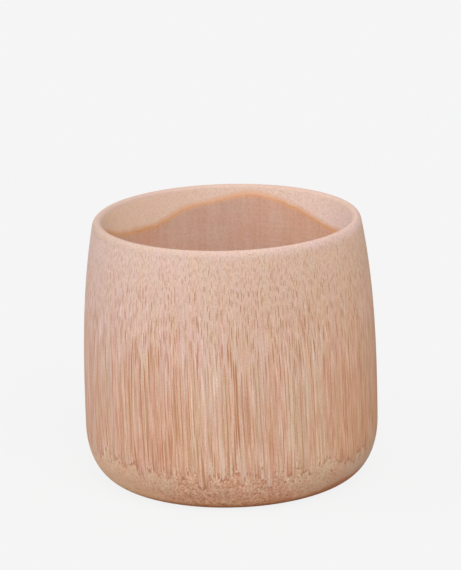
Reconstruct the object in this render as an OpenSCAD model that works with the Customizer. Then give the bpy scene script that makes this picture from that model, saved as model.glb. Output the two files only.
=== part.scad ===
// A drinking cup turned from one section of a bamboo culm. The culm's own node is its bottom.
// Lengths are in millimetres. Z points up, and the origin is the centre of the foot, on the
// surface that the cup stands on.

/* [Cup] */
// Height of the cup, from the foot to the top of the lip
cup_h = 80; // [60:1:120]
// Radius of the belly, where the cup is widest
belly_r = 44.5; // [36:0.1:60]
// Height of the belly's widest line
belly_h = 17; // [12.5:0.5:24]
// How much narrower than the belly the mouth is, on each side
mouth_inset = 4; // [1:0.1:8]
// How full the side is: 1 is a straight cone, 4 keeps the belly's width nearly to the mouth
side_power = 2.8; // [1.4:0.1:4]
// Width of the rounded bottom corner, from the foot out to the belly
foot_inset = 11; // [6:0.5:12]
// How full the bottom corner is: 2 is a quarter of an ellipse, 3 is nearly square
corner_power = 2.2; // [2:0.1:3]

/* [Mouth] */
// Thickness of the rounded lip
lip_t = 3.2; // [2:0.1:3.8]
// Height of the lip's rounding on the outside
lip_round_h = 3; // [2:0.1:4]
// Slope of the bevel inside the mouth, in degrees from upright
bevel_angle = 16; // [13:1:24]
// Mean thickness of the wall at the mouth, from the outside to the culm's natural hollow
mouth_wall_t = 4.1; // [3.9:0.1:8]
// Thickness of the culm's inner skin
skin_t = 0.5; // [0.3:0.1:1]

/* [Floor] */
// Height of the floor at its centre
floor_h = 5.6; // [4:0.1:7]
// Rise of the dished floor from its centre to its edge
floor_rise = 0.8; // [0.2:0.1:1.6]
// Radius of the rounded corner between the floor and the wall
corner_r = 4.6; // [3:0.1:6]

/* [Underside] */
// Width of the flat ring that the cup rests on
rest_w = 3.5; // [2:0.1:6]
// Depth of the hollow inside that ring, at its edge
recess_h = 2; // [1:0.1:3]
// Width of the bevelled edge from the ring up into that hollow
recess_edge_w = 1.4; // [0.3:0.1:3]
// Drop of the underside of the diaphragm from its edge to its centre
recess_drop = 0.6; // [0.1:0.1:0.9]

/* [Hidden] */

// Overrun of a cut past the face that it opens
over = 1;
// Straight steps in the rounded bottom corner, the side, each half of the lip and a dished face
corner_steps = 12;
side_steps = 18;
lip_steps = 7;
dish_steps = 6;
// Sides of the prism that stands for the hollow, and of a circle
hollow_sides = 120;
round_sides = 96;

// The hollow isn't round. Each row is a wave round it: how many crests, the height of a crest
// as a share of hollow_r, and the bearing of one crest in degrees.
wave_shares = [
    [2, 0.004, 69],
    [3, 0.0185, 75],
    [4, 0.0093, 92],
    [5, 0.0039, 57],
    [9, 0.0016, 71],
    [12, 0.0017, 79],
];
wave_sum_share = wave_total(len(wave_shares) - 1);

// The mouth, the foot and the mean radius of the natural hollow all follow the belly
mouth_r = belly_r - mouth_inset;
foot_r = belly_r - foot_inset;
hollow_r = mouth_r - mouth_wall_t;
hollow_max_r = hollow_r * (1 + wave_sum_share);
hollow_min_r = hollow_r * (1 - wave_sum_share);

// The lip is a quarter of an ellipse outside, which the side runs into without a corner, and a
// quarter of a circle inside. The angles are those of the ellipse and the circle.
lip_r = lip_t / 2;
lean = atan(mouth_inset * side_power / (cup_h - belly_h));
lip_start = atan(tan(lean) * lip_round_h / lip_r);
lip_mid_r = mouth_r - lip_r * cos(lip_start);
lip_out_z = cup_h - lip_round_h;
lip_in_z = cup_h - lip_r;
side_top_z = lip_out_z + lip_round_h * sin(lip_start);

// The bevel leaves the lip where its slope touches the circle
bevel_top_r = lip_mid_r - lip_r * cos(bevel_angle);
bevel_top_z = lip_in_z + lip_r * sin(bevel_angle);
bevel_low_r = hollow_min_r - skin_t - over;
bevel_low_z = bevel_top_z - (bevel_top_r - bevel_low_r) / tan(bevel_angle);

// The floor's edge. The bowl's rounded corner starts there, at the edge of the diaphragm, and
// ends at the top of the node, where the straight grain of the wall starts.
floor_edge_h = floor_h + floor_rise;
bowl_r = hollow_max_r - skin_t;
plate_r = bowl_r - corner_r;
node_h = floor_edge_h + corner_r;

// The inner edge of the ring that the cup rests on
foot_in_r = foot_r - rest_w;

// Sum of the wave shares up to row i
function wave_total(i) = i < 0 ? 0 : wave_shares[i][1] + wave_total(i - 1);

// One wave at bearing a, and the sum of the waves up to row i, as shares of hollow_r
function one_wave(a, row) = row[1] * cos(row[0] * (a - row[2]));
function wave(a, i) = i < 0 ? 0 : one_wave(a, wave_shares[i]) + wave(a, i - 1);

// Radius of the hollow at bearing a
function hollow_at(a) = hollow_r * (1 + wave(a, len(wave_shares) - 1));

// Outline of the hollow, drawn in by inset
function hollow_points(inset) = [
    for (i = [0 : hollow_sides - 1])
        let (a = 360 * i / hollow_sides)
        (hollow_at(a) - inset) * [cos(a), sin(a)]
];

// The rounded bottom corner, a quarter of an ellipse from the foot to the belly, made fuller
function corner_points() = [
    for (i = [0 : corner_steps])
        let (a = 90 * i / corner_steps)
        [
            foot_r + foot_inset * pow(sin(a), 2 / corner_power),
            belly_h * (1 - pow(cos(a), 2 / corner_power))
        ]
];

// The side, from the belly to where the lip takes over
function side_points() = [
    for (i = [1 : side_steps])
        let (up = i / side_steps)
        [
            belly_r - mouth_inset * pow(up, side_power),
            belly_h + (side_top_z - belly_h) * up
        ]
];

// The outer half of the lip, from the side up to the top
function lip_out_points() = [
    for (i = [1 : lip_steps])
        let (a = lip_start + (90 - lip_start) * i / lip_steps)
        [lip_mid_r + lip_r * cos(a), lip_out_z + lip_round_h * sin(a)]
];

// The inner half of the lip, from the top down to the bevel
function lip_in_points() = [
    for (i = [1 : lip_steps])
        let (a = 90 + (90 - bevel_angle) * i / lip_steps)
        [lip_mid_r + lip_r * cos(a), lip_in_z + lip_r * sin(a)]
];

// A dished face of the diaphragm: the height at the axis, the rise from there to the edge, and
// the ends of the run as shares of the way out
function dish_points(low_z, rise, start_share, end_share) = [
    for (i = [0 : dish_steps])
        let (out = start_share + (end_share - start_share) * i / dish_steps)
        [plate_r * out, low_z + rise * out * out]
];

// Half of the cup's cross-section with its middle still full: outside, lip and bevel
module full_profile() {
    polygon(concat(
        [[0, 0]],
        corner_points(),
        side_points(),
        lip_out_points(),
        lip_in_points(),
        [[bevel_low_r, bevel_low_z], [0, bevel_low_z]]
    ));
}

// The part of that cross-section between two heights
module profile_between(low_z, high_z) {
    intersection() {
        full_profile();
        translate([0, low_z]) square([belly_r + over, high_z - low_z]);
    }
}

// The upright hollow, drawn in by inset, from the height low_z to past the lip
module hollow(inset, low_z) {
    translate([0, 0, low_z])
        linear_extrude(cup_h - low_z + over)
            polygon(hollow_points(inset));
}

// The bowl at the bottom of the hollow: the floor, a rounded corner and an upright side
module bowl() {
    rotate_extrude() {
        translate([0, floor_edge_h]) square([plate_r, cup_h]);
        translate([0, node_h]) square([bowl_r, cup_h]);
        translate([plate_r, node_h]) circle(corner_r, $fn = round_sides);
    }
}

// The straight-grained wall, from the node to the lip
module culm_wall() {
    color([0.86, 0.71, 0.60])
        difference() {
            rotate_extrude() profile_between(node_h, cup_h + over);
            hollow(0, node_h - over);
        }
}

// The thin skin that lines the hollow. The bevel of the mouth cuts its upper edge.
module inner_skin() {
    color([0.78, 0.52, 0.32])
        difference() {
            intersection() {
                rotate_extrude() profile_between(node_h, cup_h + over);
                hollow(0, node_h - over);
            }
            hollow(skin_t, node_h - over);
        }
}

// The thick ring of the node, turned down to the rounded foot. The wall stands on it, and the
// diaphragm grows across it.
module node_ring() {
    color([0.76, 0.57, 0.46])
        difference() {
            rotate_extrude() profile_between(0, node_h);
            intersection() {
                bowl();
                hollow(skin_t, 0);
            }
            translate([0, 0, recess_h]) cylinder(r = plate_r, h = node_h, $fn = round_sides);
            plate();
            recess();
        }
}

// The shallow hollow under the cup, inside the ring that it rests on
module recess() {
    rotate_extrude() polygon([
        [0, -over],
        [foot_in_r, -over],
        [foot_in_r, 0],
        [foot_in_r - recess_edge_w, recess_h],
        [0, recess_h]
    ]);
}

// A round plate that is dished on both faces
module plate() {
    rotate_extrude() polygon(concat(
        dish_points(recess_h - recess_drop, recess_drop, 0, 1),
        dish_points(floor_h, floor_rise, 1, 0)
    ));
}

// The diaphragm, the culm's own cross wall. It is the cup's floor.
module diaphragm() {
    color([0.82, 0.66, 0.50]) plate();
}

culm_wall();
inner_skin();
node_ring();
diaphragm();
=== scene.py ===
# %% [markdown]
# # A cup turned from bamboo
#
# The cup is one section of a bamboo culm, cut off just below a node. It has four kinds of tissue: the
# straight-grained wall, the culm's thin inner skin, the thick ring of the node, and the cross wall that
# makes the floor. Each is a piece here, and each follows a rule: a profile is spun round the upright
# axis, and the culm's natural hollow, which isn't round, pushes the inner points in and out. The look is
# a solid texture: fibre bundles run upright through the whole body, and the turned surface cuts them, so
# they show as dots, dashes or long streaks by themselves.

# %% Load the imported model
import math
import bmesh
import bpy
from mathutils import Matrix, Vector


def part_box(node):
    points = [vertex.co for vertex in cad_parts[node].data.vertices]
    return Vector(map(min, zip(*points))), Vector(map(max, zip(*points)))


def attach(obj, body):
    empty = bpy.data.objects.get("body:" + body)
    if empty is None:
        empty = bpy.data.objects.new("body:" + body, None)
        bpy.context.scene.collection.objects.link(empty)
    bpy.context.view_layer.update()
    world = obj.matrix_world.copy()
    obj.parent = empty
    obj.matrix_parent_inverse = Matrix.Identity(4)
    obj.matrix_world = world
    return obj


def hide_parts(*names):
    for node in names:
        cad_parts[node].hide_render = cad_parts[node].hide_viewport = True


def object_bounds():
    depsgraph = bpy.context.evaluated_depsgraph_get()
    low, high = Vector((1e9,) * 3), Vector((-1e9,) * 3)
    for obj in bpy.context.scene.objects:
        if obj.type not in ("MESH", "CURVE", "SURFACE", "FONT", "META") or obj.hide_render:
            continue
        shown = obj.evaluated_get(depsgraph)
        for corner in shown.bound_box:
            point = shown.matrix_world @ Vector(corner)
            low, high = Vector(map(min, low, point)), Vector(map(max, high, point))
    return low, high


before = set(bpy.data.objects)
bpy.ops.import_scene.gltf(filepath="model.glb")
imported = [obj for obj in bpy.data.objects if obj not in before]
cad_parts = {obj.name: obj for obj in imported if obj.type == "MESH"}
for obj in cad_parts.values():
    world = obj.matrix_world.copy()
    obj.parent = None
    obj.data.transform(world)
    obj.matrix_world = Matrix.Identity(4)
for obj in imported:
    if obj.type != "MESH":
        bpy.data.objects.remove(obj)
cad_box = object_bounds()
print("CAD box in metres:", [tuple(round(v, 4) for v in corner) for corner in cad_box])

# %% [markdown]
# ## Sizes
#
# Everything is in metres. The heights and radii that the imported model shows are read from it, so the
# pieces here can't drift from it. The others are the cup's own: how far the mouth and the foot draw in
# from the belly, how thick the lip is, how the bevel inside the mouth slopes.

# %% Sizes of the cup
MM = 0.001
cup_h = cad_box[1].z
belly_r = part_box("culm_wall")[1].x
node_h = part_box("node_ring")[1].z
plate_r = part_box("diaphragm")[1].x
belly_h = 17.0 * MM
mouth_inset = 4.0 * MM
foot_inset = 11.0 * MM
corner_power = 2.2
side_power = 2.8
lip_t = 3.2 * MM
lip_round_h = 3.0 * MM
bevel_angle = math.radians(16.0)
bevel_slope = math.tan(bevel_angle)
mouth_wall_t = 4.1 * MM
skin_t = 0.5 * MM
floor_h = 5.6 * MM
floor_edge_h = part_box("diaphragm")[1].z
recess_h = 2.0 * MM
recess_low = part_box("diaphragm")[0].z
recess_edge_w = 1.4 * MM
rest_w = 3.5 * MM
mouth_r = belly_r - mouth_inset
foot_r = belly_r - foot_inset
hollow_r = mouth_r - mouth_wall_t
corner_r = node_h - floor_edge_h
print("belly", round(belly_r / MM, 2), "mouth", round(mouth_r / MM, 2), "node", round(node_h / MM, 2), "mm")

# %% [markdown]
# The culm's hollow isn't round. A few waves of different counts round it, each a share of its mean radius
# with a crest at some bearing, make the lobes that give the bevel its wavy lower edge. A table of waves
# is easier to steer than noise, because each row can be read: how many crests, how high, where one of
# them stands.

# %% Waves of the hollow
hollow_waves = (
    (2, 0.004, 69),
    (3, 0.0185, 75),
    (4, 0.0093, 92),
    (5, 0.0039, 57),
    (9, 0.0016, 71),
    (12, 0.0017, 79),
)
wave_sum = sum(share for count, share, crest in hollow_waves)
print("the hollow is out of round by up to", round(wave_sum * hollow_r / MM, 2), "mm")

# %% [markdown]
# ## Camera
#
# The photograph was taken from a little above the rim with a long lens. The camera stands at the same
# elevation, far enough off for the same gentle perspective, and it is rolled by a degree and a half, as
# the photograph is.

# %% Camera
camera_far = 1.0
camera_up = math.radians(17.102)
camera_roll = math.radians(-1.477)
camera_aim = Vector((0.655, 0.0, 58.492)) * MM
camera_back = -camera_far * math.cos(camera_up)
camera_at = Vector((0.0, camera_back, cup_h / 2 + camera_far * math.sin(camera_up)))
photo_tall = 570
focus_in_pixels = 3296.24
camera_data = bpy.data.cameras.new("camera")
camera_data.sensor_width = 36.0
camera_data.lens = focus_in_pixels * camera_data.sensor_width / photo_tall
camera_data.clip_start = 0.05
camera = bpy.data.objects.new("camera", camera_data)
bpy.context.scene.collection.objects.link(camera)
look = (camera_aim - camera_at).to_track_quat("-Z", "Y").to_matrix().to_4x4()
camera.matrix_world = Matrix.Translation(camera_at) @ look @ Matrix.Rotation(camera_roll, 4, "Z")
bpy.context.scene.camera = camera
print("lens", round(camera_data.lens, 1), "mm")

# %% [markdown]
# ## A short way to write node trees
#
# Both the shapes and the finishes are node trees with a good deal of arithmetic. A tree is easier to read
# as formulas, so a Flow wraps what runs through a link, and adding or multiplying it adds the Math node
# that does it.

# %% Flow
class Flow:
    """A value that runs through a node tree. Arithmetic on it adds Math nodes to the tree."""

    def __init__(self, tree, socket):
        self.tree = tree
        self.socket = socket

    def __add__(self, other):
        return calc(self.tree, "ADD", self, other)

    def __radd__(self, other):
        return calc(self.tree, "ADD", other, self)

    def __sub__(self, other):
        return calc(self.tree, "SUBTRACT", self, other)

    def __rsub__(self, other):
        return calc(self.tree, "SUBTRACT", other, self)

    def __mul__(self, other):
        return calc(self.tree, "MULTIPLY", self, other)

    def __rmul__(self, other):
        return calc(self.tree, "MULTIPLY", other, self)

    def __truediv__(self, other):
        return calc(self.tree, "DIVIDE", self, other)

    def __rtruediv__(self, other):
        return calc(self.tree, "DIVIDE", other, self)


# %% [markdown]
# One call adds a node, sets it and links it. Its sockets are found by name among the enabled ones,
# because a node that can work on several kinds of data hides a socket of the same name for each kind.

# %% Node helpers
def feed(tree, socket, value):
    """Links a Flow to a socket, or sets the socket's own value."""
    if isinstance(value, Flow):
        tree.links.new(value.socket, socket)
    elif value is not None:
        socket.default_value = value


def open_socket(made, name):
    """The enabled input of a node that has this name."""
    return next(s for s in made.inputs if s.name == name and s.enabled)


def put(tree, kind, named=(), **settings):
    """Adds a node with its settings and with its named inputs."""
    made = tree.nodes.new(kind)
    for name, setting in settings.items():
        setattr(made, name, setting)
    for name, value in dict(named).items():
        feed(tree, open_socket(made, name), value)
    return made


def out(tree, made, name):
    """The enabled output of a node that has this name."""
    return Flow(tree, next(s for s in made.outputs if s.name == name and s.enabled))


def calc(tree, operation, *values):
    """One Math node."""
    made = put(tree, "ShaderNodeMath", operation=operation)
    for socket, value in zip(made.inputs, values):
        feed(tree, socket, value)
    return Flow(tree, made.outputs[0])


def combine(tree, x, y, z):
    return out(tree, put(tree, "ShaderNodeCombineXYZ", {"X": x, "Y": y, "Z": z}), "Vector")


def split(tree, vector):
    made = put(tree, "ShaderNodeSeparateXYZ", {"Vector": vector})
    return [Flow(tree, socket) for socket in made.outputs]


def ease(tree, value, low, high, low_to=0.0, high_to=1.0):
    """A smooth step from low_to to high_to as value goes from low to high."""
    sockets = {"Value": value, "From Min": low, "From Max": high, "To Min": low_to, "To Max": high_to}
    return out(tree, put(tree, "ShaderNodeMapRange", sockets, interpolation_type="SMOOTHSTEP"), "Result")


def noise(tree, vector, scale=1.0, detail=2.0, roughness=0.5):
    sockets = {"Vector": vector, "Scale": scale, "Detail": detail, "Roughness": roughness}
    return put(tree, "ShaderNodeTexNoise", sockets)


def mixed(tree, share, a, b):
    """A mix of two numbers."""
    made = put(tree, "ShaderNodeMix", {"Factor": share, "A": a, "B": b}, data_type="FLOAT")
    return out(tree, made, "Result")


def tint(tree, share, a, b, blend_type="MIX"):
    """A mix of two colours."""
    sockets = {"Factor": share, "A": a, "B": b}
    return out(tree, put(tree, "ShaderNodeMix", sockets, data_type="RGBA", blend_type=blend_type), "Result")


# %% [markdown]
# What more than one tree uses is a node group with named inputs and outputs, built once and placed with
# other values each time. The helpers below open such a group, feed its outputs and print its size.

# %% Group helpers
def ports(kind, *names):
    """Names for the inputs or outputs of a group, all of one kind."""
    return [(name, "NodeSocket" + kind) for name in names]


def open_group(name, kind, takes, gives):
    """A node group with named inputs and outputs, and the Flows of its inputs."""
    tree = bpy.data.node_groups.new(name, kind)
    for direction, sockets in (("INPUT", takes), ("OUTPUT", gives)):
        for socket_name, socket_kind in sockets:
            tree.interface.new_socket(name=socket_name, in_out=direction, socket_type=socket_kind)
    entry = tree.nodes.new("NodeGroupInput")
    end = tree.nodes.new("NodeGroupOutput")
    flows = {socket.name: Flow(tree, socket) for socket in entry.outputs if socket.name}
    return tree, flows, end


def give(tree, end, **values):
    """Feeds the outputs of a group, with spaces written as underscores."""
    for name, value in values.items():
        feed(tree, end.inputs[name.replace("_", " ")], value)


def tell(tree):
    """Prints how many nodes a finished group has."""
    print(tree.name, "has", len(tree.nodes), "nodes")
    return tree


# %% [markdown]
# ## Profiles
#
# A profile is half of a piece's cross-section, a chain of points that goes once round the section. On the
# lathe it would be the path of the tool. Each point has a radius and a height, and three shares that say
# how it follows the hollow: to_hollow draws its radius to the hollow's wall, inset draws it in by the
# skin's thickness, and to_bevel draws its height to the bevel's cone. Plain Python is best here, because
# a designer thinks of a profile as a line.

# %% Profile points
def point(radius, height, to_hollow=0.0, inset=0.0, to_bevel=0.0):
    return (radius, height, to_hollow, inset, to_bevel)


def steps(count, start=0.0, end=1.0):
    return [start + (end - start) * i / count for i in range(count + 1)]


lip_r = lip_t / 2
lean = math.atan(mouth_inset * side_power / (cup_h - belly_h))
lip_start = math.atan(math.tan(lean) * lip_round_h / lip_r)
lip_mid_r = mouth_r - lip_r * math.cos(lip_start)
lip_out_z = cup_h - lip_round_h
lip_in_z = cup_h - lip_r
side_top_z = lip_out_z + lip_round_h * math.sin(lip_start)
bevel_top_r = lip_mid_r - lip_r * math.cos(bevel_angle)
bevel_top_z = lip_in_z + lip_r * math.sin(bevel_angle)


def corner_points(low_z, high_z, count):
    """The rounded bottom corner between two heights. It is a quarter of an ellipse, a little fuller."""
    low = math.acos((1 - low_z / belly_h) ** (corner_power / 2))
    high = math.acos((1 - high_z / belly_h) ** (corner_power / 2))
    made = []
    for a in steps(count, low, high):
        out_share = math.sin(a) ** (2 / corner_power)
        up_share = 1 - max(math.cos(a), 0.0) ** (2 / corner_power)
        made.append(point(foot_r + foot_inset * out_share, belly_h * up_share))
    return made


def side_points(count):
    """The side, from the belly up to the lip."""
    rise = side_top_z - belly_h
    return [point(belly_r - mouth_inset * up ** side_power, belly_h + rise * up) for up in steps(count)]


def lip_quarter(count, start, end, middle_z, tall):
    """A stretch of the lip, an arc as wide as the lip and as tall as the given height."""
    turns = steps(count, start, end)
    return [point(lip_mid_r + lip_r * math.cos(a), middle_z + tall * math.sin(a)) for a in turns]


def lip_points(count):
    """The lip: a tall quarter of an ellipse outside, and a quarter of a circle down to the bevel."""
    outside = lip_quarter(count, lip_start, math.pi / 2, lip_out_z, lip_round_h)
    inside = lip_quarter(count, math.pi / 2, math.pi - bevel_angle, lip_in_z, lip_r)
    return outside + inside[1:]


def bevel_points(count, start=0.0, end=1.0, inset=0.0):
    """Down the bevel, from the lip towards the wall of the hollow."""
    return [point(bevel_top_r, node_h, share, inset, 1.0) for share in steps(count, start, end)]


def hollow_points(count, inset=0.0):
    """Down the wall of the hollow, from the bevel to the node."""
    return [point(bevel_top_r, node_h, 1.0, inset, share) for share in steps(count, 1.0, 0.0)]


print("lean of the side at the lip:", round(math.degrees(lean), 1), "degrees")

# %% [markdown]
# ## The tree that spins a profile
#
# The hollow comes first. Each of its waves is a cosine round the cup, and six of them are added up, so one
# wave is a small group of its own, with its count, share and bearing as inputs.

# %% Wave group
def build_wave_group():
    takes = ports("Float", "Bearing", "Crests", "Share", "Crest bearing")
    tree, given, end = open_group("hollow_wave", "GeometryNodeTree", takes, ports("Float", "Wave"))
    angle = (given["Bearing"] - given["Crest bearing"]) * given["Crests"]
    give(tree, end, Wave=calc(tree, "COSINE", angle) * given["Share"])
    return tree


wave_group = tell(build_wave_group())

# %% [markdown]
# A lathe does one thing: every point of the profile goes round the axis. A grid does the same in Geometry
# Nodes. Its rows are the points of the profile and its columns are bearings round the cup, and one Set
# Position node puts each grid point in its place. A Screw modifier would do for a round piece, but the
# hollow needs a radius of its own at every bearing. Fine ridges on the natural wall are noise with a
# fixed place, so every piece that meets there gets the same ridges.

# %% Spinning tree
ridge_detail = 3.0
merge_within = 0.001 * MM


def read_attribute(tree, name, data_type="FLOAT"):
    made = put(tree, "GeometryNodeInputNamedAttribute", {"Name": name}, data_type=data_type)
    return out(tree, made, "Attribute")


def sample(tree, geometry, value, index, data_type="FLOAT"):
    """The value of an attribute at one point of the profile."""
    sockets = {"Geometry": geometry, "Value": value, "Index": index}
    return out(tree, put(tree, "GeometryNodeSampleIndex", sockets, data_type=data_type), "Value")


def hollow_radius(tree, given, bearing):
    """The hollow's radius at a bearing: its mean, its waves and its fine ridges."""
    total = 1.0
    for crests, share, crest in hollow_waves:
        row = {"Bearing": bearing, "Crests": crests, "Share": share, "Crest bearing": math.radians(crest)}
        total = total + out(tree, put(tree, "GeometryNodeGroup", row, node_tree=wave_group), "Wave")
    place = combine(tree, calc(tree, "COSINE", bearing), calc(tree, "SINE", bearing), 0.0)
    ridges = out(tree, noise(tree, place, given["Ridge scale"], ridge_detail), "Fac") - 0.5
    return given["Hollow radius"] * total + ridges * given["Ridge height"]


def build_spin_tree():
    """The tree that spins a profile into a closed piece."""
    takes = ports("Geometry", "Profile") + ports("Int", "Around")
    takes += ports("Float", "Hollow radius", "Ridge height", "Ridge scale", "Skin thickness")
    takes += ports("Float", "Bevel top radius", "Bevel top height", "Bevel slope")
    takes += ports("Material", "Material")
    tree, given, end = open_group("spin_profile", "GeometryNodeTree", takes, ports("Geometry", "Piece"))
    profile = given["Profile"]
    rows = out(tree, put(tree, "GeometryNodeAttributeDomainSize", {"Geometry": profile}), "Point Count")
    grid = put(tree, "GeometryNodeMeshGrid", {"Vertices X": given["Around"] + 1, "Vertices Y": rows})
    index = out(tree, put(tree, "GeometryNodeInputIndex"), "Index")
    row = calc(tree, "MODULO", index, rows)
    column = calc(tree, "FLOOR", (index + 0.5) / rows)
    bearing = column * (2 * math.pi) / given["Around"]
    position = out(tree, put(tree, "GeometryNodeInputPosition"), "Position")
    radius, height = split(tree, sample(tree, profile, position, row, "FLOAT_VECTOR"))[::2]
    to_hollow = sample(tree, profile, read_attribute(tree, "to_hollow"), row)
    inset = sample(tree, profile, read_attribute(tree, "inset"), row) * given["Skin thickness"]
    to_bevel = sample(tree, profile, read_attribute(tree, "to_bevel"), row)
    hollow = hollow_radius(tree, given, bearing)
    radius = mixed(tree, to_hollow, radius, hollow - inset)
    on_bevel = given["Bevel top height"] - (given["Bevel top radius"] - radius) / given["Bevel slope"]
    height = mixed(tree, to_bevel, height, on_bevel)
    turned_x = calc(tree, "COSINE", bearing) * radius
    turned_y = calc(tree, "SINE", bearing) * radius
    piece = out(tree, grid, "Mesh")
    for kind, named in (
        ("SetPosition", {"Position": combine(tree, turned_x, turned_y, height)}),
        ("StoreNamedAttribute", {"Name": "from_hollow", "Value": radius - hollow}),
        ("MergeByDistance", {"Distance": merge_within}),
        ("SetShadeSmooth", {"Shade Smooth": True}),
        ("RealizeInstances", {}),
        ("SetMaterial", {"Material": given["Material"]}),
    ):
        piece = out(tree, put(tree, "GeometryNode" + kind, {"Geometry": piece, **named}), "Geometry")
    give(tree, end, Piece=piece)
    return tree


spin_tree = tell(build_spin_tree())

# %% [markdown]
# The helper below makes one piece. It puts the profile's points in a small mesh, sets the tree's inputs
# by their identifiers, lets Geometry Nodes work, and keeps the result as a plain mesh whose faces point
# outwards. Edges sharper than a small angle stay crisp, so that the rim of the hollow reads as a cut edge
# and not as a soft bend.

# %% Make a spun piece
around = 360
ridge_height = 0.20 * MM
ridge_scale = 14.0
sharp_edge = math.radians(12.0)


def set_input(modifier, name, value):
    """Sets a modifier's input by the socket's identifier."""
    sockets = modifier.node_group.interface.items_tree
    modifier[next(s.identifier for s in sockets if s.name == name and s.in_out == "INPUT")] = value


def spin(name, points, material):
    """Spins a closed profile into a piece, which stands for the CAD node of the same name."""
    mesh = bpy.data.meshes.new(name + "_profile")
    links = [(i, i + 1) for i in range(len(points) - 1)]
    mesh.from_pydata([(radius, 0.0, height) for radius, height, *shares in points], links, [])
    for i, attribute in enumerate(("to_hollow", "inset", "to_bevel")):
        values = [shares[i] for radius, height, *shares in points]
        mesh.attributes.new(attribute, "FLOAT", "POINT").data.foreach_set("value", values)
    lathe = bpy.data.objects.new(name + "_lathe", mesh)
    bpy.context.scene.collection.objects.link(lathe)
    modifier = lathe.modifiers.new("spin", "NODES")
    modifier.node_group = spin_tree
    values = {
        "Around": around,
        "Hollow radius": hollow_r,
        "Ridge height": ridge_height,
        "Ridge scale": ridge_scale,
        "Skin thickness": skin_t,
        "Bevel top radius": bevel_top_r,
        "Bevel top height": bevel_top_z,
        "Bevel slope": bevel_slope,
        "Material": material,
    }
    for input_name, value in values.items():
        set_input(modifier, input_name, value)
    depsgraph = bpy.context.evaluated_depsgraph_get()
    plain = bpy.data.meshes.new_from_object(lathe.evaluated_get(depsgraph))
    bpy.data.objects.remove(lathe)
    turned = bmesh.new()
    turned.from_mesh(plain)
    bmesh.ops.dissolve_degenerate(turned, dist=merge_within, edges=turned.edges)
    bmesh.ops.recalc_face_normals(turned, faces=turned.faces)
    open_edges = sum(1 for edge in turned.edges if len(edge.link_faces) != 2)
    volume = turned.calc_volume(signed=True)
    turned.to_mesh(plain)
    turned.free()
    plain.set_sharp_from_angle(angle=sharp_edge)
    piece = bpy.data.objects.new(name + "_turned", plain)
    bpy.context.scene.collection.objects.link(piece)
    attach(piece, "root")
    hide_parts(name)
    print(name, len(plain.polygons), "faces", open_edges, "open edges", round(volume / MM ** 3), "mm3")
    return piece


# %% [markdown]
# ## Grain
#
# In a real culm dark fibre bundles run upright through a pale, soft ground, and they crowd together near
# the outside. The texture is the same thing: rods that run upright through the whole body, so the turned
# surface cuts them by itself into dots on the bevel, dashes near the lip and long streaks at the belly.
# Painting the streaks on the surface would be quicker, but every slope would need its own. The
# coordinates below unroll the culm: two of them go round it, the third goes outwards. Bundles lean and
# wander a little, so the coordinates do too.
#
# The straight grain ends at the node, and not along a line. Narrow cells round the culm hang down as
# fingers, each to a height of its own and with a rounded tip, from an edge that rises and falls slowly.

# %% Culm coordinates
curl_scale = 0.12
curl_rise = 0.02
curl_depth = 2.0
swell_z = (19.0, 15.0)
edge_scale = 0.045
edge_place = 4.0
edge_rise = 9.0
finger_scale = 0.45
finger_rise = 0.03
finger_tip = 3.0


def centred(value):
    """Brings a value from between 0 and 1 to between -1 and 1."""
    return value * 2.0 - 1.0


def build_culm_group():
    """Coordinates of the culm in millimetres, and the ragged edge of its node."""
    takes = ports("Float", "Belly radius", "Layer stretch", "Run", "Lean", "Wander", "Node height", "Fringe")
    gives = ports("Vector", "Across", "Body") + ports("Float", "Radius", "Height", "Above edge", "Finger")
    tree, given, end = open_group("culm_coordinates", "ShaderNodeTree", takes, gives)
    place = out(tree, put(tree, "ShaderNodeTexCoord"), "Object")
    x, y, z = [axis * (1.0 / MM) for axis in split(tree, place)]
    radius = calc(tree, "SQRT", x * x + y * y)
    bearing = calc(tree, "ARCTAN2", y, x) + z * given["Lean"]
    round_x = calc(tree, "COSINE", bearing) * given["Belly radius"]
    round_y = calc(tree, "SINE", bearing) * given["Belly radius"]
    slow_place = combine(tree, round_x * curl_scale, round_y * curl_scale, z * curl_rise)
    curl = out(tree, noise(tree, slow_place, detail=1.0), "Color")
    curl_x, curl_y, curl_z = [share - 0.5 for share in split(tree, curl)]
    across_x = round_x + curl_x * given["Wander"]
    across_y = round_y + curl_y * given["Wander"]
    # below the belly the bundles bend inwards with the swelling of the node
    swollen = calc(tree, "MAXIMUM", radius, given["Belly radius"] * ease(tree, z, *swell_z))
    layer = swollen * given["Layer stretch"] + z / given["Run"] + curl_z * given["Wander"] * curl_depth
    edge_at = combine(tree, x * edge_scale, y * edge_scale, edge_place)
    edge = (out(tree, noise(tree, edge_at, detail=1.0), "Fac") - 0.5) * edge_rise
    finger_cells = {"Vector": combine(tree, across_x, across_y, z * finger_rise), "Scale": finger_scale}
    cells = put(tree, "ShaderNodeTexVoronoi", finger_cells, voronoi_dimensions="3D")
    own, paleness = split(tree, out(tree, cells, "Color"))[:2]
    tip = out(tree, cells, "Distance") * finger_tip
    above = z - given["Node height"] - edge - (own - 0.5) * given["Fringe"] - tip
    give(tree, end, Across=combine(tree, across_x, across_y, layer), Body=combine(tree, x, y, z))
    give(tree, end, Radius=radius, Height=z, Above_edge=above, Finger=centred(paleness))
    return tree


culm_group = tell(build_culm_group())

# %% [markdown]
# Dark bundles are the points of a Voronoi pattern in those coordinates. Each cell holds one bundle, and
# its random colour gives that bundle its own thickness and darkness. The third coordinate follows the
# radius, so a bundle ends where the turned surface has moved in by its thickness: soon where the side
# slopes, late where it is upright. Round each dark bundle lies a thin pale sheath.

# %% Bundles
thinnest = 0.38
thicker = 0.24
core_in = 0.75
core_out = 1.1
sheath_in = 1.15
sheath_out = 2.3
palest = 0.55
darker = 0.45


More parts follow.
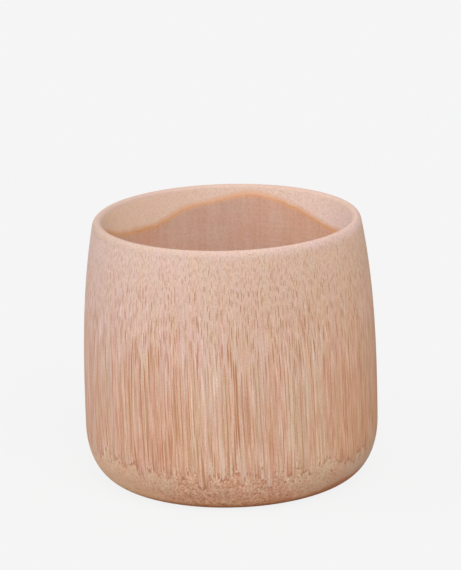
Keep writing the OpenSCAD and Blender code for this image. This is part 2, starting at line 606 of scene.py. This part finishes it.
def build_bundle_group():
    takes = ports("Vector", "Across") + ports("Float", "Spacing", "Thickness")
    tree, given, end = open_group("bundles", "ShaderNodeTree", takes, ports("Float", "Mask", "Sheath"))
    settings = {"Vector": given["Across"], "Scale": 1.0 / given["Spacing"]}
    cells = put(tree, "ShaderNodeTexVoronoi", settings, voronoi_dimensions="3D", feature="F1")
    size, dark = split(tree, out(tree, cells, "Color"))[:2]
    away = out(tree, cells, "Distance") * given["Spacing"]
    reach = given["Thickness"] * (size * thicker + thinnest)
    core = ease(tree, away, reach * core_in, reach * core_out, 1.0, 0.0)
    sheath = ease(tree, away, reach * sheath_in, reach * sheath_out, 1.0, 0.0) - core
    give(tree, end, Mask=core * (dark * darker + palest), Sheath=sheath)
    return tree


bundle_group = tell(build_bundle_group())

# %% [markdown]
# Between the dark bundles the wood itself is striped: strands differ in tone and in hue, rosy or tan.
# They are noise in the two coordinates that go round the culm, drawn out along the height. Depth doesn't
# count for them, so they stay upright where the side slopes. A steep ramp gives the strands clear edges.

# %% Strands
strand_ramp = (0.3, 0.7)


def build_strand_group():
    takes = ports("Vector", "Across") + ports("Float", "Height", "Width", "Length")
    names = ("Tone", "Hue", "Warmth")
    tree, given, end = open_group("strands", "ShaderNodeTree", takes, ports("Float", *names))
    ring_x, ring_y = split(tree, given["Across"])[:2]
    drawn_out = given["Height"] / given["Length"] * given["Width"] * 2.0
    cloud = noise(tree, combine(tree, ring_x, ring_y, drawn_out), 0.5 / given["Width"], detail=1.0)
    for name, share in zip(names, split(tree, out(tree, cloud, "Color"))):
        feed(tree, end.inputs[name], centred(ease(tree, share, *strand_ramp)))
    return tree


strand_group = tell(build_strand_group())

# %% [markdown]
# Close up, sanded bamboo is grainy. Its soft tissue is made of cells that catch the light one by one, so
# the finest layer is noise that has no direction. Patches are the same thing at the scale of a finger.

# %% Grain and patches
def build_grain_group():
    takes = ports("Vector", "Body") + ports("Float", "Grain size", "Patch size")
    kinds = ("Grain", "Patch")
    names = ("", " hue", " warmth")
    gives = ports("Float", *[kind + name for kind in kinds for name in names])
    tree, given, end = open_group("grain_and_patches", "ShaderNodeTree", takes, gives)
    for kind in kinds:
        cloud = noise(tree, given["Body"], 1.0 / given[kind + " size"], detail=1.0)
        for name, share in zip(names, split(tree, out(tree, cloud, "Color"))):
            feed(tree, end.inputs[kind + name], centred(share))
    return tree


grain_group = tell(build_grain_group())

# %% [markdown]
# ## Turned wood
#
# The wall and the node ring are cut from the same wood, so their colour is one group. The ground is
# palest inside and warmer outside. Strands, bundles and grain are laid over it, stronger towards the
# outside, where fibres crowd. Most of the work is done by dyes, which scale a colour's red, green and
# blue by a share each. A dye keeps what is under it.

# %% Colour helpers
def use(tree, group, **values):
    """Places a node group and sets or links its inputs, with spaces written as underscores."""
    sockets = {name.replace("_", " "): value for name, value in values.items()}
    made = put(tree, "ShaderNodeGroup", sockets, node_tree=group)
    return {socket.name: Flow(tree, socket) for socket in made.outputs}


def dyed(tree, colour, amount, dye):
    """Scales a colour's channels by 1 plus the amount times the dye's share of each."""
    scale = combine(tree, *[amount * share + 1.0 for share in dye])
    return tint(tree, 1.0, colour, scale, "MULTIPLY")


def blended(layers, name, weights):
    """The weighted sum of one output of several layers."""
    parts = [layer[name] * weight for layer, weight in zip(layers, weights)]
    return sum(parts[1:], parts[0])


def recipe(tree, fades, dyes):
    """Two short calls for one tree, which look up a fade or a dye by its name in a table."""
    def fade(value, name):
        return ease(tree, value, *fades[name])

    def dye(colour, amount, name):
        return dyed(tree, colour, amount, dyes[name])

    return fade, dye


# %% [markdown]
# The numbers of the wood stand in tables, so that the group below reads as a recipe. A fade has the place
# where it starts and the place where it ends, in millimetres of radius (r), height (z), or x or y of the
# body. It goes from 0 to 1, or between the two values that follow. A dye has its shares of red, green and
# blue. Strands have a width and a length, rods a spacing and a thickness, and a where says how much a
# layer counts among the crowded fibres and on the whole turned side.

# %% Numbers of the turned wood
wood_fades = {
    "outside r": (38.0, 39.8),
    "fibrous r": (41.6, 44.3),
    "crown r": (38.4, 39.2),
    "belly z": (80.0, 22.0),
    "pale face x": (27.0, 13.0),
    "pale face z": (60.0, 38.0),
    "bevel right x": (10.0, 24.0),
    "roll z": (78.7, 79.2),
    "lip z": (76.6, 79.2),
    "lip front y": (15.0, -12.0),
    "calm": (0.1, 0.8),
    "calm z": (52.0, 36.0),
    "tone z": (60.0, 28.0, 0.74, 1.4),
    "hue z": (54.0, 38.0, 1.0, 1.4),
    "mouth bundles z": (50.0, 68.0),
    "faint z": (66.0, 77.0, 1.0, 0.55),
    "pepper x": (-28.0, 20.0, 0.06, 0.34),
    "rods z": (40.0, 54.0, 0.56, 0.6),
    "stout z": (62.0, 46.0, 0.35, 1.0),
}
wood_dyes = {
    "pale face": (0.05, 0.13, 0.20),
    "across": (0.0004, -0.0006, -0.0028),
    "bevel across": (0.0, 0.0008, 0.0036),
    "bevel right": (-0.02, -0.03, -0.04),
    # painted shade on the inner roll of the lip
    "roll_shade": (-0.03, -0.02, -0.03),
    # painted light and shade across the front of the lip
    "lip light and shade": (0.003, 0.0025, 0.0033),
    "patch hue": (0.015, -0.02, 0.0),
    "patch warmth": (0.0, 0.0, 0.06),
    "calm": (-0.02, 0.03, 0.02),
    "tone": (0.07, 0.14, 0.195),
    "hue": (0.015, -0.055, -0.045),
    "warmth": (0.0, 0.005, 0.06),
    "mouth bundles": (-0.08, 0.08, 0.28),
    "pale rods": (0.175, 0.25, 0.35),
    "sheath": (0.04, 0.05, 0.08),
    "grain": (0.19, 0.23, 0.25),
    "grain hue": (0.05, -0.06, 0.0),
    "grain warmth": (0.0, 0.0, 0.12),
}
pale_face_at = 9.0
strand_sizes = ((1.5, 50.0), (0.5, 22.0), (0.27, 8.0))
tone_weights = (0.06, 0.1, 0.84)
hue_weights = (0.42, 0.7, 0.3)
warmth_weights = (0.6, 0.8, 0.6)
tone_where = (0.85, 0.15)
hue_where = (0.5, 0.5)
warmth_where = (0.6, 0.4)
calm_on_tone = 0.35
crowd_mean = 0.9
tone_on_crowd = 0.2
calm_on_crowd = 0.5
specks_outside = 0.25
specks_everywhere = 0.16
rods_fibrous = 0.12
rods_everywhere = 0.12
stout_everywhere = 0.1
speck_size = (0.36, 0.28)
rod_size = (0.48, 0.33)
stout_size = (0.66, 0.38)
pale_size = (0.56, 0.4)
grain_outside = 0.4
grain_everywhere = 0.6
lip_on_grain = 0.45
grain_relief = 0.5
rod_relief = 0.6
print("fades", len(wood_fades), "dyes", len(wood_dyes))

# %% Turned wood group
def build_wood_group():
    takes = ports("Vector", "Across", "Body") + ports("Float", "Radius")
    takes += ports("Color", "Bevel colour", "Mouth colour", "Belly colour", "Lip colour", "Bundle colour")
    gives = ports("Color", "Colour") + ports("Float", "Relief", "Tone")
    tree, given, end = open_group("turned_wood", "ShaderNodeTree", takes, gives)
    x, y, z = split(tree, given["Body"])
    radius = given["Radius"]
    fade, dye = recipe(tree, wood_fades, wood_dyes)

    def rods_of(spacing, thickness):
        return use(tree, bundle_group, Across=given["Across"], Spacing=spacing, Thickness=thickness)

    def where(in_fibres, in_outside):
        return fibrous * in_fibres + outer * in_outside

    # the ground: from mouth to belly, then the bevel, and the lip between them
    outer = fade(radius, "outside r")
    bevel = 1.0 - outer
    fibrous = fade(radius, "fibrous r")
    colour = tint(tree, fade(z, "belly z"), given["Mouth colour"], given["Belly colour"])
    face_x = calc(tree, "ABSOLUTE", x - pale_face_at)
    colour = dye(colour, fade(face_x, "pale face x") * fade(z, "pale face z"), "pale face")
    colour = dye(colour, x, "across")
    colour = tint(tree, outer, given["Bevel colour"], colour)
    colour = dye(colour, bevel * x, "bevel across")
    colour = dye(colour, bevel * fade(x, "bevel right x"), "bevel right")
    crown = fade(radius, "crown r")
    # painted shade: the inner roll of the lip takes the lip's colour and is darkened further
    roll_shade = fade(z, "roll z") * (1.0 - crown)
    lip = fade(z, "lip z") * crown
    colour = tint(tree, lip + roll_shade, colour, given["Lip colour"])
    colour = dye(colour, roll_shade, "roll_shade")
    # painted light and shade across the front of the lip: darker on the left, lighter on the right
    colour = dye(colour, lip * x * fade(y, "lip front y"), "lip light and shade")
    cloud = use(tree, grain_group, Body=given["Body"], Grain_size=0.36, Patch_size=4.0)
    colour = dye(colour, cloud["Patch hue"], "patch hue")
    colour = dye(colour, cloud["Patch warmth"], "patch warmth")
    # the strands: calm ones have less tone of their own and fewer bundles
    layers = [
        use(tree, strand_group, Across=given["Across"], Height=z, Width=width, Length=length)
        for width, length in strand_sizes
    ]
    wide, fine, hair = layers
    calm = fade(wide["Warmth"], "calm") * fade(z, "calm z")
    tone = blended(layers, "Tone", tone_weights) - hair["Tone"] * calm * calm_on_tone
    tone = tone * fade(z, "tone z")
    colour = dye(colour, calm, "calm")
    mostly_fibrous = where(*tone_where)
    colour = dye(colour, tone * mostly_fibrous, "tone")
    hue = blended(layers, "Hue", hue_weights) * where(*hue_where)
    colour = dye(colour, hue * fade(z, "hue z"), "hue")
    warmth = blended(layers, "Warmth", warmth_weights) * where(*warmth_where)
    colour = dye(colour, warmth, "warmth")
    # the bundles, from fine specks to stout rods, with pale ones and sheaths between them
    crowd = crowd_mean - wide["Tone"] * tone_on_crowd - calm * calm_on_crowd
    dark = dye(given["Bundle colour"], fade(z, "mouth bundles z"), "mouth bundles")
    specks = rods_of(*speck_size)
    rods = rods_of(*rod_size)
    stout = rods_of(*stout_size)
    pale = rods_of(*pale_size)
    colour = dye(colour, pale["Mask"] * mostly_fibrous, "pale rods")
    colour = dye(colour, rods["Sheath"] + stout["Sheath"] * fibrous, "sheath")
    faint = fade(z, "faint z")
    speck_share = outer * faint * specks_outside + bevel * fade(x, "pepper x") + specks_everywhere
    colour = tint(tree, specks["Mask"] * (1.0 - fibrous) * speck_share, colour, dark)
    rod_share = outer * faint * fade(z, "rods z") + fibrous * crowd * rods_fibrous + rods_everywhere
    colour = tint(tree, rods["Mask"] * rod_share, colour, dark)
    stout_share = fibrous * (crowd + stout_everywhere) * fade(z, "stout z")
    colour = tint(tree, stout["Mask"] * stout_share, colour, dark)
    # the grain of the soft tissue
    grain_share = outer * grain_outside + grain_everywhere - lip * lip_on_grain
    colour = dye(colour, cloud["Grain"] * grain_share, "grain")
    colour = dye(colour, cloud["Grain hue"], "grain hue")
    colour = dye(colour, cloud["Grain warmth"], "grain warmth")
    relief = cloud["Grain"] * grain_relief - rods["Mask"] * rod_relief
    give(tree, end, Colour=colour, Relief=relief, Tone=tone + pale["Mask"] - stout["Mask"])
    return tree


wood_group = tell(build_wood_group())

# %% [markdown]
# ## Tangled wood
#
# At the node the bundles turn and cross, and the lathe cuts them every way. What shows is a mottled,
# speckled skin without streaks, khaki in places and rosy in others, which turns red-brown towards the
# foot. It is a group too, because the node ring, the foot of the wall and the floor all show it.

# %% Tangled wood group
tangle_fades = {
    "flank x": (8.0, 32.0),
    "rosy": (-0.7, 0.7),
    "low z": (7.0, 2.0),
    "high z": (7.0, 12.0),
    "redden right x": (18.0, 34.0),
    "redden z": (3.6, 1.2),
    "redden left x": (-34.0, -14.0, 0.35, 0.9),
    "crowd": (-0.3, 0.3),
    "ends z": (7.0, 10.0, 0.0, 0.4),
}
tangle_dyes = {
    "low": (0.17, 0.10, -0.04),
    "high": (0.0, 0.05, 0.07),
    "patches": (0.16, 0.34, 0.39),
    "curls": (0.33, 0.66, 0.72),
    "grain": (0.33, 0.54, 0.58),
    "hue": (0.03, -0.05, 0.0),
}
patch_on_rosy = 1.2
curls_on_rosy = 0.3
rosy_mean = 0.25
flank_on_rosy = 0.6
flank_on_grain = 0.7
flank_on_dots = 0.5
redden_drop = 2.5
dot_bend = 0.6
ends_drawn = 0.3
hue_on_crowd = 0.6
crowded = 0.85
scattered = 0.15
curl_relief = 0.6
cloud_relief = 0.3


def build_tangle_group():
    takes = ports("Vector", "Body") + ports("Color", "Khaki", "Rosy", "Speck colour", "Foot colour")
    gives = ports("Color", "Colour") + ports("Float", "Relief")
    tree, given, end = open_group("tangled_wood", "ShaderNodeTree", takes, gives)
    x, y, z = split(tree, given["Body"])
    fade, dye = recipe(tree, tangle_fades, tangle_dyes)

    cloud = use(tree, grain_group, Body=given["Body"], Grain_size=0.42, Patch_size=7.0)
    curls = use(tree, grain_group, Body=given["Body"], Grain_size=0.9, Patch_size=2.6)
    flank = fade(calc(tree, "ABSOLUTE", x), "flank x")
    rosy = cloud["Patch"] * patch_on_rosy + curls["Patch"] * curls_on_rosy
    rosy = rosy + rosy_mean - flank * flank_on_rosy
    colour = tint(tree, fade(rosy, "rosy"), given["Khaki"], given["Rosy"])
    colour = dye(colour, fade(z, "low z"), "low")
    # darker and redder towards the bottom edge, reaching higher on the right and weaker on the left
    redden_z = z - fade(x, "redden right x") * redden_drop
    reddened = fade(redden_z, "redden z") * fade(x, "redden left x")
    colour = tint(tree, reddened, colour, given["Foot colour"])
    colour = dye(colour, fade(z, "high z"), "high")
    rough = 1.0 - flank * flank_on_grain
    colour = dye(colour, curls["Patch"] * rough, "patches")
    colour = dye(colour, curls["Grain"] * rough, "curls")
    colour = dye(colour, cloud["Grain"] * rough, "grain")
    colour = dye(colour, curls["Grain hue"], "hue")
    bent = combine(tree, x + curls["Grain"] * dot_bend, y + curls["Grain hue"] * dot_bend, z)
    dots = use(tree, bundle_group, Across=bent, Spacing=1.05, Thickness=0.66)["Mask"]
    drawn = combine(tree, x, y, z * ends_drawn)
    ends = use(tree, bundle_group, Across=drawn, Spacing=0.8, Thickness=0.4)["Mask"]
    crowd = fade(cloud["Patch warmth"] + curls["Patch hue"] * hue_on_crowd, "crowd") * crowded + scattered
    colour = tint(tree, dots * crowd * (1.0 - flank * flank_on_dots), colour, given["Speck colour"])
    colour = tint(tree, ends * fade(z, "ends z"), colour, given["Speck colour"])
    relief = curls["Grain"] * curl_relief + cloud["Grain"] * cloud_relief
    give(tree, end, Colour=colour, Relief=relief)
    return tree


tangle_group = tell(build_tangle_group())

# %% [markdown]
# ## Finishes
#
# Every finish is raw, sanded bamboo: matt, with hardly any gloss. The palette is in linear colour, as
# Blender wants.

# %% Palette
wood_palette = {
    "Bevel_colour": (0.712, 0.526, 0.428, 1.0),
    "Lip_colour": (0.672, 0.476, 0.397, 1.0),
    "Mouth_colour": (0.684, 0.470, 0.369, 1.0),
    "Belly_colour": (0.614, 0.347, 0.224, 1.0),
    "Bundle_colour": (0.466, 0.192, 0.085, 1.0),
}
tangle_palette = {
    "Khaki": (0.700, 0.452, 0.302, 1.0),
    "Rosy": (0.700, 0.372, 0.237, 1.0),
    "Speck_colour": (0.375, 0.155, 0.075, 1.0),
    "Foot_colour": (0.580, 0.205, 0.072, 1.0),
}
edge_brown = (0.400, 0.148, 0.066, 1.0)
skin_tan = (0.642, 0.408, 0.308, 1.0)
skin_rose = (0.680, 0.470, 0.378, 1.0)
amber = (0.700, 0.385, 0.215, 1.0)
dark_amber = (0.620, 0.325, 0.165, 1.0)
print("colours of the wood:", len(wood_palette), "and of the node:", len(tangle_palette))

# %% [markdown]
# Every finish starts in the same way: a matt shader and the culm's coordinates. The last step links the
# colour and a fine bump, and lets the roughness follow that relief a little.

# %% Start and end of a finish
gloss = 0.25
roughness_by_relief = 0.08
grain_lean = math.tan(math.radians(1.4)) / (belly_r / MM)
culm_settings = {
    "Belly_radius": belly_r / MM,
    "Layer_stretch": 1.3,
    "Run": 40.0,
    "Lean": grain_lean,
    "Wander": 0.5,
    "Node_height": node_h / MM - 0.3,
    "Fringe": 4.6,
}


def start_material(name, roughness):
    material = bpy.data.materials.new(name)
    material.use_nodes = True
    tree = material.node_tree
    shader = tree.nodes["Principled BSDF"]
    shader.inputs["Roughness"].default_value = roughness
    shader.inputs["Specular IOR Level"].default_value = gloss
    return material, tree, shader, use(tree, culm_group, **culm_settings)


def wood_at(tree, culm):
    """The turned wood in the coordinates of the culm."""
    shared = {name: culm[name] for name in ("Across", "Body", "Radius")}
    return use(tree, wood_group, **shared, **wood_palette)


def finish(tree, shader, colour, relief, depth):
    """Links the colour, a roughness that follows the relief a little, and a bump of some depth in metres."""
    roughness = relief * roughness_by_relief + shader.inputs["Roughness"].default_value
    feed(tree, shader.inputs["Base Color"], colour)
    feed(tree, shader.inputs["Roughness"], roughness)
    bump = put(tree, "ShaderNodeBump", {"Height": relief, "Distance": depth, "Strength": 1.0})
    tree.links.new(bump.outputs["Normal"], shader.inputs["Normal"])


print("the grain leans", round(math.degrees(grain_lean), 3), "degrees for each millimetre of height")

# %% [markdown]
# The wall and the node ring share one finish, so the outside runs on over their joint. Above the ragged
# edge it is the turned wood, below it the tangled one. The fingers are a little paler near their tips,
# brown blots lie along the edge, and short dark stubs of bundles end there.

# %% Finish of wall and node
edge_fades = {
    "below": (0.25, -0.25),
    "near": (9.0, 0.5),
    "line": (0.75, 0.1),
    "blots": (-0.12, 0.28, 0.0, 0.8),
    "stubs above": (4.0, 0.5),
    "stubs below": (-0.6, 0.2, 0.0, 0.8),
}
edge_dyes = {
    "finger": (0.07, 0.13, 0.17),
    "near": (0.03, 0.055, 0.075),
}
tone_on_edge = 0.5
line_drop = 0.1
patch_on_blots = 0.5
stub_drawn = 0.4


def culm_and_node(tree, culm):
    """Straight-grained wood above the ragged edge, tangled wood below it, and brown blots along the edge."""
    fade, dye = recipe(tree, edge_fades, edge_dyes)
    wood = wood_at(tree, culm)
    tangle = use(tree, tangle_group, Body=culm["Body"], **tangle_palette)
    above = culm["Above edge"] + wood["Tone"] * tone_on_edge
    below = fade(above, "below")
    near = fade(above, "near")
    fingers = dye(wood["Colour"], culm["Finger"] * near, "finger")
    fingers = dye(fingers, near, "near")
    colour = tint(tree, below, fingers, tangle["Colour"])
    relief = mixed(tree, below, wood["Relief"], tangle["Relief"])
    line = fade(calc(tree, "ABSOLUTE", above + line_drop), "line")
    blots = use(tree, grain_group, Body=culm["Body"], Grain_size=1.1, Patch_size=5.0)
    share = line * fade(blots["Grain"] + blots["Patch"] * patch_on_blots, "blots")
    colour = tint(tree, share, colour, edge_brown)
    ring_x, ring_y = split(tree, culm["Across"])[:2]
    drawn = combine(tree, ring_x, ring_y, culm["Height"] * stub_drawn)
    ends = use(tree, bundle_group, Across=drawn, Spacing=0.8, Thickness=0.5)
    stubs = ends["Mask"] * fade(above, "stubs above") * fade(above, "stubs below")
    return tint(tree, stubs, colour, edge_brown), relief


def build_wood_finish(name):
    material, tree, shader, culm = start_material(name, roughness=0.6)
    colour, relief = culm_and_node(tree, culm)
    finish(tree, shader, colour, relief, depth=0.03 * MM)
    return material


wall_wood = build_wood_finish("turned_culm")
node_wood = build_wood_finish("turned_node")
print("finishes:", wall_wood.name, node_wood.name)

# %% [markdown]
# The skin of the hollow was never cut. It is smooth, rosier than the wood, with faint upright ribs and
# fainter rings round it. Only its upper edge was cut, by the bevel, and there it shows amber, with a
# ragged upper border. The edge is found by its distance below the bevel's cone, and the border by the
# distance out from the hollow, which the spinning tree stored on every point.

# %% Finish of the skin
skin_fades = {
    "ribs": (-0.5, 0.5),
    "aside x": (10.0, 22.0),
    "stain": (1.4, 0.0),
    "cut": (0.12, 0.04),
}
skin_dyes = {
    "flank": (0.0, -0.002, -0.004),
    "rings": (0.06, 0.09, 0.11),
    "hue": (0.03, -0.10, -0.13),
    "grain": (0.12, 0.155, 0.175),
    "grain hue": (0.03, -0.05, 0.0),
    "grain warmth": (0.0, 0.0, 0.10),
    "stain": (0.20, 0.06, -0.12),
    "stain aside": (-0.07, -0.04, -0.16),
}
rib_scale = (0.55, 0.55, 0.035)
ring_scale = (0.12, 0.12, 1.1)
rib_hue = 0.25
flank_at = -2.0
ragged_patch = 0.35
ragged_grain = 0.2
ragged_cloud = 0.15


def depth_in_wall(tree):
    """Millimetres out from the hollow, which the spinning tree stored on every point."""
    return out(tree, put(tree, "ShaderNodeAttribute", attribute_name="from_hollow"), "Fac") / MM


def below_bevel(culm):
    """Millimetres down from the bevel's cone."""
    return bevel_top_z / MM - (bevel_top_r / MM - culm["Radius"]) / bevel_slope - culm["Height"]


def build_skin():
    material, tree, shader, culm = start_material("culm_skin", roughness=0.5)
    axes = split(tree, culm["Body"])
    fade, dye = recipe(tree, skin_fades, skin_dyes)

    def drawn_noise(scales, detail, roughness):
        place = combine(tree, *[axis * scale for axis, scale in zip(axes, scales)])
        return centred(out(tree, noise(tree, place, 1.0, detail, roughness), "Fac"))

    ribs = drawn_noise(rib_scale, detail=3.0, roughness=0.6)
    rings = drawn_noise(ring_scale, detail=2.0, roughness=0.7)
    cloud = use(tree, grain_group, Body=culm["Body"], Grain_size=0.72, Patch_size=9.0)
    colour = tint(tree, fade(ribs, "ribs"), skin_tan, skin_rose)
    colour = dye(colour, calc(tree, "ABSOLUTE", axes[0] - flank_at), "flank")
    colour = dye(colour, rings, "rings")
    colour = dye(colour, cloud["Patch hue"] + ribs * rib_hue, "hue")
    colour = dye(colour, cloud["Grain"], "grain")
    colour = dye(colour, cloud["Grain hue"], "grain hue")
    colour = dye(colour, cloud["Grain warmth"], "grain warmth")
    aside = fade(calc(tree, "ABSOLUTE", axes[0]), "aside x")
    stain = fade(below_bevel(culm), "stain")
    colour = dye(colour, stain, "stain")
    colour = dye(colour, stain * aside, "stain aside")
    ripple = use(tree, grain_group, Body=culm["Body"], Grain_size=1.0, Patch_size=3.2)
    uneven = ripple["Patch"] * ragged_patch + ripple["Grain"] * ragged_grain + cloud["Patch"] * ragged_cloud
    ragged = depth_in_wall(tree) / (skin_t / MM) - uneven
    warm = tint(tree, aside, amber, dark_amber)
    cut_colour = tint(tree, ragged * -1.0, wood_at(tree, culm)["Colour"], warm)
    colour = tint(tree, fade(below_bevel(culm), "cut"), colour, cut_colour)
    finish(tree, shader, colour, ribs, depth=0.04 * MM)
    return material


skin_wood = build_skin()
print("finish:", skin_wood.name)

# %% [markdown]
# The floor of the cup is the culm's own cross wall. It is woody and tangled, and a little darker than the
# rest.

# %% Finish of the cross wall
rim_dye = (-0.003, -0.004, -0.004)


def build_diaphragm_wood():
    material, tree, shader, culm = start_material("diaphragm_wood", roughness=0.65)
    tangle = use(tree, tangle_group, Body=culm["Body"], **tangle_palette)
    colour = dyed(tree, tangle["Colour"], culm["Radius"], rim_dye)
    finish(tree, shader, colour, tangle["Relief"], depth=0.1 * MM)
    return material


diaphragm_wood = build_diaphragm_wood()
print("finish:", diaphragm_wood.name)

# %% [markdown]
# ## Culm wall
#
# The wall is what the lathe leaves of the culm: the outside from the node up, the rounded lip, the bevel,
# and the back of the inner skin. The profile runs once round it and closes along the flat face where it
# stands on the node.

# %% Culm wall
wall_points = corner_points(node_h, belly_h, count=12)
wall_points += side_points(count=60)[1:]
wall_points += lip_points(count=14)[1:]
wall_points += bevel_points(count=8)[1:]
wall_points += hollow_points(count=20)[1:]
wall_points += [wall_points[0]]
culm_wall = spin("culm_wall", wall_points, wall_wood)

# %% [markdown]
# ## Inner skin
#
# The skin lines the hollow from the node to the bevel. The bevel cuts it at a slant, and that cut edge is
# the thin amber line in the mouth. It is a piece of its own, half a millimetre thick, so the line has its
# true width from every side.

# %% Inner skin
skin_points = hollow_points(count=24, inset=1.0)[::-1]
skin_points += [point(bevel_top_r, node_h, 1.0, share, 1.0) for share in steps(4, 1.0, 0.0)[1:]]
skin_points += hollow_points(count=24)[1:]
skin_points += [skin_points[0]]
inner_skin = spin("inner_skin", skin_points, skin_wood)

# %% [markdown]
# ## Node ring
#
# The node ring carries the wall. Outside it is the rounded corner and the flat ring that the cup rests
# on. Inside, a rounded corner leads from the wall of the hollow to the floor. The corner starts where the
# hollow is, waves and all, and ends on the round edge of the cross wall, so its points let go of the
# hollow bit by bit on the way down.

# %% Node ring
def dish_points(low_z, high_z, start, end, count=16):
    """A dished face from one share of the plate's radius to another."""
    shares = steps(count, start, end)
    return [point(plate_r * share, low_z + (high_z - low_z) * share ** 2) for share in shares]


bowl_turns = steps(16, math.pi / 2, 0.0)
ring_points = corner_points(0.0, node_h, count=24)
ring_points += [
    point(plate_r, node_h - corner_r * math.cos(a), math.sin(a), math.sin(a)) for a in bowl_turns
]
recess_r = foot_r - rest_w - recess_edge_w
ring_points += dish_points(recess_low, recess_h, 1.0, recess_r / plate_r, count=4)
ring_points += [point(foot_r - rest_w, 0.0)]
ring_points += [ring_points[0]]
node_ring = spin("node_ring", ring_points, node_wood)

# %% [markdown]
# ## Diaphragm
#
# The diaphragm is the culm's own cross wall. It is dished on both faces and closes the middle of the
# ring. Its profile starts and ends on the axis, so it needs no closing point.

# %% Diaphragm
plate_points = dish_points(recess_low, recess_h, 0.0, 1.0) + dish_points(floor_h, floor_edge_h, 1.0, 0.0)
diaphragm = spin("diaphragm", plate_points, diaphragm_wood)

# %% [markdown]
# ## Floor
#
# The floor is a plain pale sheet that keeps the cup's shadow. Light Path lets the camera see it pale
# while it throws less light back at the cup.

# %% Floor
floor_half = 3.0
floor_bounce = 0.45
floor_base = 0.045
floor_glow = 0.861


def grey(level):
    return (level, level, level, 1.0)


def build_floor_material():
    material = bpy.data.materials.new("floor")
    material.use_nodes = True
    tree = material.node_tree
    shader = tree.nodes["Principled BSDF"]
    shader.inputs["Roughness"].default_value = 0.9
    shader.inputs["Specular IOR Level"].default_value = 0.0
    seen = out(tree, put(tree, "ShaderNodeLightPath"), "Is Camera Ray")
    feed(tree, shader.inputs["Base Color"], tint(tree, seen, grey(floor_bounce), grey(floor_base)))
    feed(tree, shader.inputs["Emission Color"], tint(tree, seen, grey(0.0), grey(floor_glow)))
    shader.inputs["Emission Strength"].default_value = 1.0
    return material


floor_mesh = bpy.data.meshes.new("floor")
corner_signs = ((-1, -1), (1, -1), (1, 1), (-1, 1))
floor_mesh.from_pydata([(floor_half * x, floor_half * y, 0.0) for x, y in corner_signs], [], [(0, 1, 2, 3)])
floor_mesh.materials.append(build_floor_material())
floor = bpy.data.objects.new("floor", floor_mesh)
bpy.context.scene.collection.objects.link(floor)
print("floor", 2 * floor_half, "m wide")

# %% [markdown]
# ## Light
#
# The photograph was lit softly from all round. The stronger of two broad lamps stands high in front, a
# little to the right. The other stands low at the left, and the world does the rest. Light Path shows the
# camera a paler world than the one that lights the cup.

# %% Light
lamp_spread = math.radians(40.0)
sky_seen = 0.913
sky_light = 0.444


def sun(name, bearing, height, strength):
    """A white lamp far away. Its bearing is where it stands, from the camera's right towards the back."""
    data = bpy.data.lights.new(name, "SUN")
    data.energy = strength * math.pi
    data.angle = lamp_spread
    lamp = bpy.data.objects.new(name, data)
    a = math.radians(bearing)
    h = math.radians(height)
    stands = Vector((math.cos(a) * math.cos(h), math.sin(a) * math.cos(h), math.sin(h)))
    lamp.rotation_euler = stands.to_track_quat("Z", "Y").to_euler()
    bpy.context.scene.collection.objects.link(lamp)


sun("side", bearing=-170, height=30, strength=0.454)
sun("front", bearing=-70, height=50, strength=0.641)

world = bpy.data.worlds.new("world")
world.use_nodes = True
bpy.context.scene.world = world
sky = world.node_tree.nodes["Background"]
sky.inputs["Color"].default_value = grey(1.0)
seen = put(world.node_tree, "ShaderNodeLightPath")
shine = mixed(world.node_tree, out(world.node_tree, seen, "Is Camera Ray"), sky_light, sky_seen)
feed(world.node_tree, sky.inputs["Strength"], shine)
bpy.context.scene.view_settings.view_transform = "Standard"
print("lamps:", [lamp.name for lamp in bpy.data.lights])
